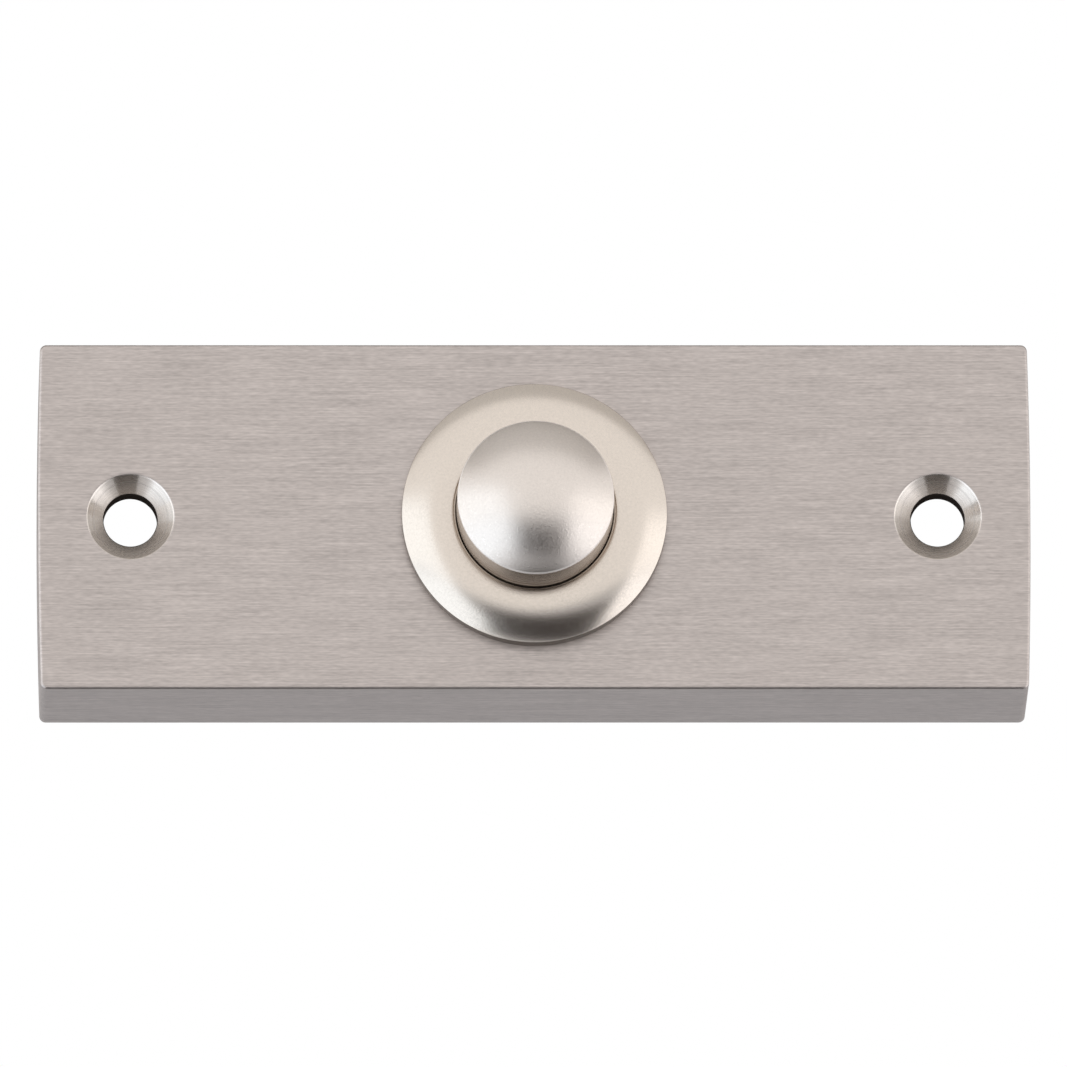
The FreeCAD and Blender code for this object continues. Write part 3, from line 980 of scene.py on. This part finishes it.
@dataclass
class Bezel:
    """The collar in front of the plate and its threaded barrel.

    Its first rows, the underside, the side and the first two thirds of the edge round, are dressed in a
    darker copy of the collar's nickel: painted shade for its dark side and contact line. One field
    counts these rows.
    """

    rim_out: float = 13.2
    face_out: float = 12.0
    mouth_step_r: float = 6.22
    mouth_depth: float = 0.12
    bore_r: float = 6.08
    chamber_r: float = 6.85
    base_bore_r: float = 7.2
    groove_r: float = 7.5
    barrel_r: float = 8.5
    shoulder_out: float = 10.4
    base_seat_out: float = 5.5
    base_back_out: float = 3.9
    groove_back_out: float = 3.25
    barrel_chamfer: float = 0.4
    edge_r: float = 0.07
    mouth_r: float = 0.06
    machined_r: float = 0.03
    thread_pitch: float = 0.75
    thread_depth: float = 0.36
    barrel_steps: int = 126
    crown_steps: int = 28
    shade_painted_rows: int = 7
    reach: Reach = field(default_factory=lambda: Reach.of("bezel_collar"))

    def profile(self) -> Array:
        """The collar's section.

        Returns:
            Rows of radius and height: the underside, the crowned head, the stepped mouth and bore,
            the circlip's groove and the barrel, whose steps are fine enough for the thread.
        """
        head_r, top, back = self.reach.right, self.reach.front, self.reach.back
        crown_end = self.mouth_step_r + self.mouth_r
        crown = eased_crown(head_r, self.rim_out, crown_end, top, self.edge_r, self.crown_steps)[:-1]
        barrel = np.linspace(back + self.barrel_chamfer, self.face_out, self.barrel_steps + 1)[:-1]
        machined = [
            (self.mouth_step_r, top - self.mouth_depth), (self.bore_r, top - self.mouth_depth),
            (self.bore_r, self.shoulder_out), (self.chamber_r, self.shoulder_out),
            (self.chamber_r, self.base_seat_out), (self.base_bore_r, self.base_seat_out),
            (self.base_bore_r, self.base_back_out), (self.groove_r, self.base_back_out),
            (self.groove_r, self.groove_back_out), (self.base_bore_r, self.groove_back_out),
            (self.base_bore_r, back), (self.barrel_r - self.barrel_chamfer, back),
        ]
        return eased(np.vstack([
            (self.barrel_r, self.face_out, 0.0), (head_r, self.face_out, 0.0),
            spread(*crown.T, 0.0),
            (self.mouth_step_r, top, self.mouth_r),
            [(*corner, self.machined_r) for corner in machined],
            spread(self.barrel_r, barrel, 0.0),
        ]))

    def build(self) -> None:
        """Makes the collar with its thread."""
        start = self.reach.back + self.barrel_chamfer
        thread = Thread(self.thread_pitch, self.thread_depth, start, self.face_out)
        surface = turned(self.profile(), thread=thread)
        # The side rows take the darker copy of the nickel: painted shade.
        side = surface.rows(0, self.shade_painted_rows, SHADE_PAINTED_COLLAR_SIDE)
        rest = surface.rows(self.shade_painted_rows - 1, None, SATIN_COLLAR)
        finishes = [SATIN_COLLAR, SHADE_PAINTED_COLLAR_SIDE]
        Piece("bezel", [side, rest], finishes, "satin_nickel", ("bezel_collar",)).build()


@dataclass
class PushHead:
    """The domed button with the bush, bridge and clip that travel with it."""

    head_r: float = 6.0
    rim_out: float = 18.9
    rim_r: float = 0.25
    shoulder_out: float = 10.4
    socket_r: float = 4.0
    socket_out: float = 13.2
    crown_steps: int = 40
    bush_plug_r: float = 3.98
    bush_bore_r: float = 2.4
    bush_floor_out: float = 12.6
    bush_sleeve_r: float = 3.1
    bush_corner_r: float = 0.03
    bush_edge_r: float = 0.05
    bush_flange_edge_r: float = 0.1
    bush_lead_r: float = 0.15
    bridge_seat_out: float = 8.8
    bridge_t: float = 0.3
    bridge_seat_r: float = 4.1
    bridge_rim_r: float = 4.7
    bridge_bore_edge_r: float = 0.04
    bridge_bend_r: float = 0.1
    bridge_edge_r: float = 0.08
    sleeve_fit_r: float = 3.12
    head: Reach = field(default_factory=lambda: Reach.of("push_button"))
    bush: Reach = field(default_factory=lambda: Reach.of("insulating_bush"))
    bridge: Reach = field(default_factory=lambda: Reach.of("contact_bridge"))

    def head_surfaces(self) -> list[Patch]:
        """The button's dome, its works and side in a darker copy of the nickel as painted shade, and
        its rim in a lighter one as a painted highlight.

        Returns:
            The three surfaces, turned from the dome's section and from the one of the socket,
            guide flange and straight side.
        """
        rim_out, flange_r = self.rim_out, self.head.right
        dome = eased_crown(self.head_r, rim_out, 0.0, self.head.front, self.rim_r, self.crown_steps)
        works = np.array([
            (0.0, self.socket_out), (self.socket_r, self.socket_out),
            (self.socket_r, self.head.back), (flange_r, self.head.back),
            (flange_r, self.shoulder_out), (self.head_r, self.shoulder_out), dome[0],
        ])
        # Works and side take the darker copy of the nickel, painted shade; the rim takes the lighter
        # one, a painted highlight.
        sections = (
            (dome[EDGE_POINTS - 1:], SATIN_DOME), (works, SHADE_PAINTED_SATIN_SIDE), (dome[:EDGE_POINTS], HIGHLIGHT_PAINTED_RIM),
        )
        return [turned(section, closed=False, finish=finish) for section, finish in sections]

    def bush_profile(self) -> Array:
        """The bush's section.

        Returns:
            Rows of radius and height: the sleeve that is bored for the spring, the flange and the plug.
        """
        bush, plug_back = self.bush, self.head.back
        rows = np.array([
            (0.0, bush.front, 0.0), (0.0, self.bush_floor_out, 0.0),
            (self.bush_bore_r, self.bush_floor_out, self.bush_edge_r),
            (self.bush_bore_r, bush.back, self.bush_lead_r),
            (self.bush_sleeve_r, bush.back, self.bush_edge_r),
            (self.bush_sleeve_r, self.bridge_seat_out, self.bush_corner_r),
            (bush.right, self.bridge_seat_out, self.bush_flange_edge_r),
            (bush.right, plug_back, self.bush_flange_edge_r),
            (self.bush_plug_r, plug_back, self.bush_corner_r),
            (self.bush_plug_r, bush.front, self.bush_lead_r),
        ])
        return np.roll(eased(rows), -1, axis=0)

    def bridge_profile(self) -> Array:
        """The bridge's section.

        Returns:
            Rows of radius and height: a pressed washer with a flat seat, a cone and a flat rim.
        """
        seat, back = self.bridge_seat_out, self.bridge.back
        fall = seat - self.bridge_t - back
        shift = self.bridge_t * math.tan(math.atan2(fall, self.bridge_rim_r - self.bridge_seat_r) / 2)
        return eased(np.array([
            (self.sleeve_fit_r, seat, self.bridge_bore_edge_r),
            (self.sleeve_fit_r, seat - self.bridge_t, self.bridge_bore_edge_r),
            (self.bridge_seat_r, seat - self.bridge_t, self.bridge_bend_r),
            (self.bridge_rim_r, back, self.bridge_bend_r),
            (self.bridge.right, back, self.bridge_edge_r),
            (self.bridge.right, back + self.bridge_t, self.bridge_edge_r),
            (self.bridge_rim_r + shift, back + self.bridge_t, self.bridge_bend_r),
            (self.bridge_seat_r + shift, seat, self.bridge_bend_r),
        ]))

    def build(self) -> None:
        """Makes the button, its bush and its bridge, and dresses the clip."""
        Piece(
            "domed_button", self.head_surfaces(), [SATIN_DOME, SHADE_PAINTED_SATIN_SIDE, HIGHLIGHT_PAINTED_RIM], "satin_nickel",
            ("push_button",), BUTTON,
        ).build()
        bush = turned(self.bush_profile(), closed=False, steps=SMALL_TURN_STEPS)
        Piece("bush", [bush], [NYLON], "white_nylon", ("insulating_bush",), BUTTON).build()
        bridge = turned(self.bridge_profile(), steps=SMALL_TURN_STEPS)
        Piece("bridge", [bridge], [BRONZE], "phosphor_bronze", ("contact_bridge",), BUTTON).build()
        dress_node("bridge_clip", SPRING_STEEL)


@dataclass
class Clamp:
    """The shakeproof washer and the slotted ring nut on the barrel."""

    bore_r: float = 8.55
    nut_chamfer: float = 0.3
    nut_bore_front_r: float = 0.03
    nut_front_r: float = 0.06
    nut_chamfer_r: float = 0.1
    nut_bore_back_r: float = 0.12
    slot_w: float = 2.4
    slot_depth: float = 1.1
    slots: int = 4
    slot_steps: int = 7
    nut_land_steps: int = 44
    teeth: int = 18
    tooth_depth: float = 1.0
    tooth_gap: float = 1.4
    tooth_gap_steps: int = 3
    tooth_steps: int = 9
    edge_r: float = 0.06
    nut: Reach = field(default_factory=lambda: Reach.of("ring_nut"))
    washer: Reach = field(default_factory=lambda: Reach.of("lock_washer"))

    def nut_section(self, back: float) -> Array:
        """The nut's section down to a given back face.

        Args:
            back: height of the back face.

        Returns:
            Rows of radius and height.
        """
        front, wide = self.nut.front, self.nut.right
        return eased(np.array([
            (self.bore_r, front, self.nut_bore_front_r), (wide, front, self.nut_front_r),
            (wide, back + self.nut_chamfer, self.nut_chamfer_r),
            (wide - self.nut_chamfer, back, self.nut_chamfer_r),
            (self.bore_r, back, self.nut_bore_back_r),
        ]))

    def build(self) -> None:
        """Makes the nut and the washer."""
        whole, slotted = (self.nut_section(self.nut.back + depth) for depth in (0.0, self.slot_depth))
        nut = notched(whole, slotted, self.slot_w, self.slots, self.nut_land_steps, self.slot_steps)
        Piece("slotted_nut", [nut], [TURNED_BRASS], "turned_brass", ("ring_nut",)).build()
        outer = math.hypot(self.washer.right, self.tooth_gap / 2)
        sections = (
            ring_section(self.bore_r, radius, self.washer, self.edge_r)
            for radius in (outer, outer - self.tooth_depth)
        )
        washer = notched(*sections, self.tooth_gap, self.teeth, self.tooth_steps, self.tooth_gap_steps)
        Piece("toothed_washer", [washer], [ZINC], "zinc_steel", ("lock_washer",)).build()


@dataclass
class Terminal:
    """One stud with its two nuts and two washers."""

    side: Side
    shank_r: float = 1.0
    head_edge: float = 0.15
    base_seat_out: float = 5.5
    end_chamfer: float = 0.25
    bore_r: float = 1.05
    nut_flats: float = 4.0
    nut_chamfer: float = 0.22
    nut_land: float = 0.06
    nut_countersink: float = 0.15
    nut_cone_slope: float = 0.5
    nut_mean_r: float = 2.0
    washer_edge_r: float = 0.05
    thread_pitch: float = 0.4
    thread_depth: float = 0.16
    thread_relief: float = 0.2
    profile_spacing: float = 0.04
    stud_steps: int = 48
    nut_steps: int = 96
    washer_steps: int = 72

    def node(self, kind: str) -> str:
        """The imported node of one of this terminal's pieces."""
        return f"{kind}_{self.side.word}"

    def stud(self) -> None:
        """Makes the stud: a flat head, and a threaded shank with a chamfered end."""
        reach = Reach.of(self.node("contact_stud"))
        back, front, seat = reach.back, reach.front, self.base_seat_out
        head_r = (reach.right - reach.left) / 2
        profile = closer(np.array([
            (0.0, back), (self.shank_r - self.end_chamfer, back),
            (self.shank_r, back + self.end_chamfer), (self.shank_r, seat), (head_r, seat),
            (head_r, front - self.head_edge), (head_r - self.head_edge, front), (0.0, front),
        ]), self.profile_spacing)
        thread = Thread(self.thread_pitch, self.thread_depth, back, seat - self.thread_relief)
        surface = turned(profile, reach.middle_x, closed=False, thread=thread, steps=self.stud_steps)
        self.piece("contact_stud", surface)

    def nut(self, kind: str) -> None:
        """Makes a hexagon nut.

        The outside radius at an angle is half the width across flats over the cosine of the angle
        from the nearest flat's middle, cut back a little at the corners. Where it passes the
        chamfer's circle, the face falls back by the same cone all round.

        Args:
            kind: which of the two nuts, without its side.
        """
        reach = Reach.of(self.node(kind))
        back, front, sink = reach.back, reach.front, self.nut_countersink
        turn = np.linspace(0, 2 * np.pi, self.nut_steps + 1)[None, :]
        from_flat = np.mod(turn + np.pi / 6, np.pi / 3) - np.pi / 6
        corner_r = self.nut_flats / math.sqrt(3)
        hexagon = np.minimum(self.nut_flats / 2 / np.cos(from_flat), corner_r - self.nut_land)
        circle = corner_r - self.nut_chamfer
        face_r = np.minimum(hexagon, circle)
        fall = np.maximum(hexagon - circle, 0) * self.nut_cone_slope
        bore, lip = self.bore_r, self.bore_r + sink
        radii = bore, bore, lip, face_r, hexagon, hexagon, face_r, lip, bore
        heights = (
            back + sink, front - sink, front, front, front - fall, back + fall, back, back, back + sink,
        )
        radius, out = (np.vstack([0 * turn + value for value in rows]) for rows in (radii, heights))
        points = spread(reach.middle_x + radius * np.cos(turn), -out, radius * np.sin(turn))
        self.piece(kind, Patch(points, spread(turn * self.nut_mean_r, out)))

    def washer(self, kind: str) -> None:
        """Makes a plain washer with broken edges.

        Args:
            kind: which of the two washers, without its side.
        """
        reach = Reach.of(self.node(kind))
        outer = (reach.right - reach.left) / 2
        section = ring_section(self.bore_r, outer, reach, self.washer_edge_r)
        self.piece(kind, turned(section, reach.middle_x, steps=self.washer_steps))

    def piece(self, kind: str, surface: Patch) -> None:
        """Finishes one of the terminal's brass pieces."""
        name = f"{kind}_brass_{self.side.word}"
        Piece(name, [surface], [TERMINAL_BRASS], "brass_terminal", (self.node(kind),)).build()

    def build(self) -> None:
        """Makes the stud, its nuts and its washers."""
        self.stud()
        for kind in ("stud_lock_nut", "terminal_nut"):
            self.nut(kind)
        for kind in ("inner_washer", "outer_washer"):
            self.washer(kind)


@dataclass
class ReturnSpring:
    """The coil that lifts the button, between the base and the bush."""

    wire_r: float = 0.225
    coil_r: float = 1.875
    active_turns: float = 5.0
    closed_turns: float = 1.0
    closed_pitch: float = 0.52
    travel: float = 1.6
    base_seat_out: float = 5.5
    bush_floor_out: float = 12.6
    steps_per_turn: int = 40
    wire_steps: int = 16
    row_length: float = 0.3

    def surface(self) -> Patch:
        """The wire: a circle carried along a helix and ground flat at both ends.

        The height rises by the closed pitch in the end turns and evenly between them. The circle
        stands square to the helix, on its outward direction and its cross product with the way
        along, and heights beyond the two seats are cut back to them. A point in the middle of the
        wire closes each end.

        Returns:
            The closed surface of the wire.
        """
        turns = self.active_turns + 2 * self.closed_turns
        turn = np.linspace(0, turns, round(turns * self.steps_per_turn) + 1)
        low, high = self.base_seat_out, self.bush_floor_out
        share = np.clip((turn - self.closed_turns) / self.active_turns, 0, 1)
        closed_rise = 2 * self.closed_turns * self.closed_pitch
        open_rise = high - low - 2 * self.wire_r - closed_rise
        out = low + self.wire_r + (turn - share * self.active_turns) * self.closed_pitch
        out = out + share * open_rise
        angle = 2 * np.pi * turn
        outward = spread(np.cos(angle), 0 * angle, np.sin(angle))
        centre = self.coil_r * outward
        centre[:, 1] = -out
        side = np.cross(unit(np.gradient(centre, axis=0)), outward)
        centre, outward, side = (np.vstack([a[:1], a, a[-1:]]) for a in (centre, outward, side))
        wire = np.full((len(centre), 1, 1), self.wire_r)
        wire[[0, -1]] = 0
        around = np.linspace(0, 2 * np.pi, self.wire_steps + 1)[None, :, None]
        ring = np.cos(around) * outward[:, None] + np.sin(around) * side[:, None]
        points = centre[:, None] + wire * ring
        points[..., 1] = np.clip(points[..., 1], -high, -low)
        rows = np.arange(len(points))[:, None]
        return Patch(points, spread(around[..., 0] * self.wire_r, rows * self.row_length))

    def build(self) -> None:
        """Makes the spring and gives it a mesh of its own."""
        spring = Piece(
            "coil_spring", [self.surface()], [SPRING_STEEL], "spring_steel", ("return_spring",)
        ).build()
        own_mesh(spring)


def direction(azimuth: float, elevation: float) -> Vector:
    """The unit vector towards an azimuth from the front and an elevation, both in degrees."""
    a, e = math.radians(azimuth), math.radians(elevation)
    return Vector((math.sin(a) * math.cos(e), -math.cos(a) * math.cos(e), math.sin(e)))


def facing(back: Vector) -> Quaternion:
    """The turn of what looks at the object from the direction back, with its top up."""
    return (-back).to_track_quat("-Z", "Y")


def rectangle(half_w: float, half_h: float, z: float = 0.0) -> list[Vector]:
    """The corners of a level rectangle about the Z axis."""
    corners = (-half_w, -half_h), (half_w, -half_h), (half_w, half_h), (-half_w, half_h)
    return [Vector((x, y, z)) for x, y in corners]


def flat_stage(name: str, corners: list[Vector], colour: tuple) -> bpy.types.Object:
    """A flat face that is part of the studio.

    Args:
        name: its name.
        corners: its four corners, in metres.
        colour: its plain colour.

    Returns:
        The new object.
    """
    mesh = bpy.data.meshes.new(name)
    mesh.from_pydata([tuple(c) for c in corners], [], [(0, 1, 2, 3)])
    sheet = Sheet(bpy.data.materials.new(name))
    plain = {"Base Color": (*colour, 1.0), "Roughness": 1.0, "Specular IOR Level": 0.0}
    sheet.fill(sheet.nodes["Principled BSDF"], plain)
    mesh.materials.append(sheet.owner)
    made = add(name, mesh)
    return made


@dataclass(frozen=True)
class Panel:
    """A rectangle of the studio that faces the object, in degrees and metres from it."""

    name: str
    azimuth: float
    elevation: float
    distance: float
    width: float
    height: float

    @property
    def back(self) -> Vector:
        """The direction from the object to the panel."""
        return direction(self.azimuth, self.elevation)


@dataclass(frozen=True)
class SoftBox(Panel):
    """A square lamp."""

    radiance: float
    colour: tuple[float, float, float]

    def build(self) -> None:
        """Adds the lamp. Its power is its radiance times pi times its area."""
        light = bpy.data.lights.new(self.name, "AREA")
        light.shape = "RECTANGLE"
        light.size = self.width
        light.size_y = self.height
        light.color = self.colour
        light.energy = self.radiance * math.pi * self.width * self.height
        lamp = add(self.name, light)
        lamp.location = self.back * self.distance
        lamp.rotation_euler = facing(self.back).to_euler()
        lamp.visible_camera = False


@dataclass(frozen=True)
class Card(Panel):
    """A plain card that the metal mirrors and the camera doesn't see."""

    colour: tuple[float, float, float]
    roll: float = 0.0

    def build(self) -> None:
        """Adds the card, rolled about its direction from the object."""
        turn = (facing(self.back) @ Quaternion((0, 0, 1), math.radians(self.roll))).to_matrix()
        place = self.back * self.distance
        corners = [turn @ corner + place for corner in rectangle(self.width / 2, self.height / 2)]
        card = flat_stage(self.name, corners, self.colour)
        card.visible_camera = False
        card.visible_shadow = False


@dataclass
class Studio:
    """Camera, lamps, cards, floor and a white surround."""

    azimuth: float = -1.1
    elevation: float = -12.7
    lens: float = 1600.0
    sensor_width: float = 36.0
    near: float = 0.1
    far: float = 50.0
    frame_width: float = 81.65
    aim_x: float = -0.06
    aim_out: float = 12.0
    aim_up: float = -1.32
    white: tuple[float, float, float, float] = (1, 1, 1, 1)
    plain_level: float = 0.8
    floor_drop: float = 2.6
    floor_half: float = 13.7
    floor_colour: tuple[float, float, float] = (0.68, 0.695, 0.725)
    panels: tuple[Panel, ...] = (
        SoftBox("left softbox", -64, -14, 0.8, 1.35, 1.00, 0.54, (0.71, 0.86, 1.0)),
        SoftBox("left fill", -56, -32, 0.8, 1.00, 0.60, 0.50, (0.85, 0.93, 1.0)),
        SoftBox("right softbox", 66, -12, 0.8, 1.00, 0.70, 0.44, (0.97, 0.98, 1.0)),
        SoftBox("right fill", 60, -28, 0.8, 0.75, 0.50, 0.50, (0.95, 0.97, 1.0)),
        Card("front card", 7, -33, 0.7, 0.60, 0.37, (0.05, 0.042, 0.04), roll=-6),
        Card("low card", 33, -80.3, 0.565, 0.44, 0.46, (0.02, 0.015, 0.01), roll=33),
        Card("rear ceiling card", 180, 71, 0.75, 1.6, 0.40, (0.30, 0.27, 0.25)),
        Card("ceiling card", 180, 89, 0.8, 2.4, 1.20, (0.95, 0.905, 0.845)),
        Card("back card", 180, 16, 0.9, 2.4, 0.9, (0.62, 0.61, 0.60)),
    )

    def camera(self) -> None:
        """Stands the camera below the push and rolls it until the plate's long edges lie level."""
        data = bpy.data.cameras.new("camera")
        data.lens = self.lens
        data.sensor_width = self.sensor_width
        data.clip_start = self.near
        data.clip_end = self.far
        camera = add("camera", data)
        back = direction(self.azimuth, self.elevation)
        distance = self.frame_width * MM / self.sensor_width * self.lens
        camera.location = Vector((self.aim_x, -self.aim_out, self.aim_up)) * MM + back * distance
        lean = math.tan(math.radians(self.azimuth)) * math.sin(math.radians(self.elevation))
        roll = Quaternion((0, 0, 1), -math.atan(lean))
        camera.rotation_euler = (facing(back) @ roll).to_euler()
        bpy.context.scene.camera = camera

    def surround(self) -> None:
        """A white world to the camera, to gloss and to glass, and a plain level for the rest."""
        world = Sheet(bpy.data.worlds.new("surround"))
        bpy.context.scene.world = world.owner
        plain = world.nodes["Background"]
        world.fill(plain, {"Color": self.white, "Strength": self.plain_level})
        white = world.node("Background", {"Color": self.white})
        path = world.node("LightPath", {}).outputs
        seen = world.math("ADD", path["Is Camera Ray"], path["Is Glossy Ray"])
        inputs = {0: seen, 1: path["Is Transmission Ray"]}
        any_of_them = world.node("Math", inputs, operation="ADD", use_clamp=True).outputs[0]
        mix = world.node("MixShader", {"Fac": any_of_them, 1: plain.outputs[0], 2: white.outputs[0]})
        world.fill(world.nodes["World Output"], {"Surface": mix.outputs[0]})

    def build(self) -> None:
        """Sets the whole studio up."""
        self.camera()
        self.surround()
        for panel in self.panels:
            panel.build()
        half = self.floor_half
        flat_stage("floor", rectangle(half, half, -self.floor_drop), self.floor_colour)
        bpy.context.scene.view_settings.view_transform = "Standard"


def main() -> None:
    """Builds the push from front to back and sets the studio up."""
    logging.basicConfig(level=logging.INFO, format="%(name)s: %(message)s")
    CoverPlate().build()
    Bezel().build()
    PushHead().build()
    Clamp().build()
    ReturnSpring().build()
    dress_node("contact_base", PHENOLIC)
    dress_node("retaining_ring", SPRING_STEEL)
    for side in Side:
        Terminal(side).build()
    Studio().build()


if __name__ == "__main__":
    main()
